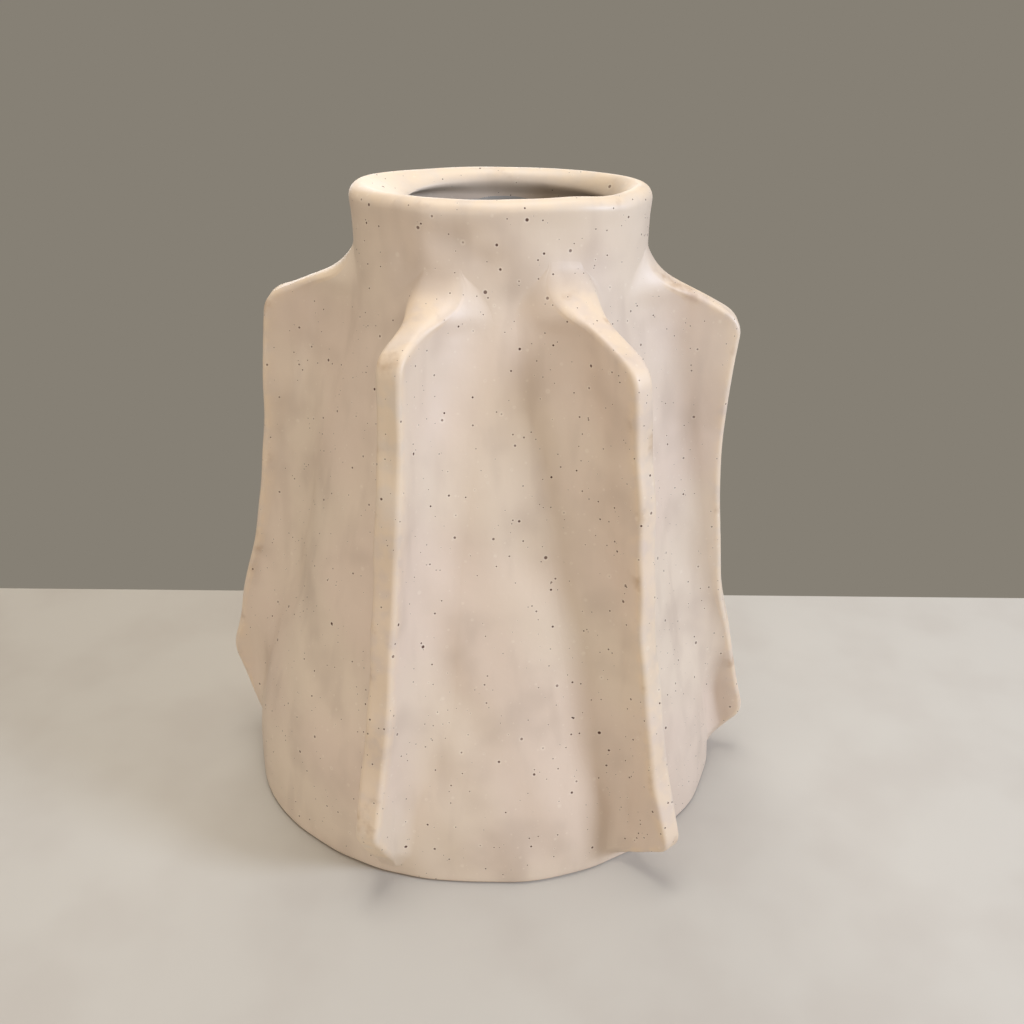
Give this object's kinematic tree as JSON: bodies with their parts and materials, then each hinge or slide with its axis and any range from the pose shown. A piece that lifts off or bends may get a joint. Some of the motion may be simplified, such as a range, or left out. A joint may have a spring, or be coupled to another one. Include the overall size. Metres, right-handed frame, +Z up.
{
  "type": "pillow vase",
  "caption": "Broad oval stoneware vase with a short oval neck, a thick rolled lip and upright fins that flare outwards at the foot and step in at the shoulder.",
  "frame": {"origin": "middle of the vase's overall footprint, on the surface that it stands on", "axes": "+Z up through the mouth, +X towards the right side fin along the broad side of the oval, and -Y towards the front"},
  "size_m": [0.2351, 0.2043, 0.26],
  "materials": {
    "glazed_stoneware": "satin cream glaze with fine brown specks over stoneware"
  },
  "bodies": {
    "root": {"base_slab": "glazed_stoneware", "base_corner_coil": "glazed_stoneware", "front_wall": "glazed_stoneware", "back_wall": "glazed_stoneware", "neck_collar": "glazed_stoneware", "lip_coil": "glazed_stoneware", "fin_left": "glazed_stoneware", "fin_right": "glazed_stoneware", "fin_front_left": "glazed_stoneware", "fin_front_right": "glazed_stoneware", "fin_back_right": "glazed_stoneware", "fin_back_left": "glazed_stoneware"}
  },
  "joints": []
}
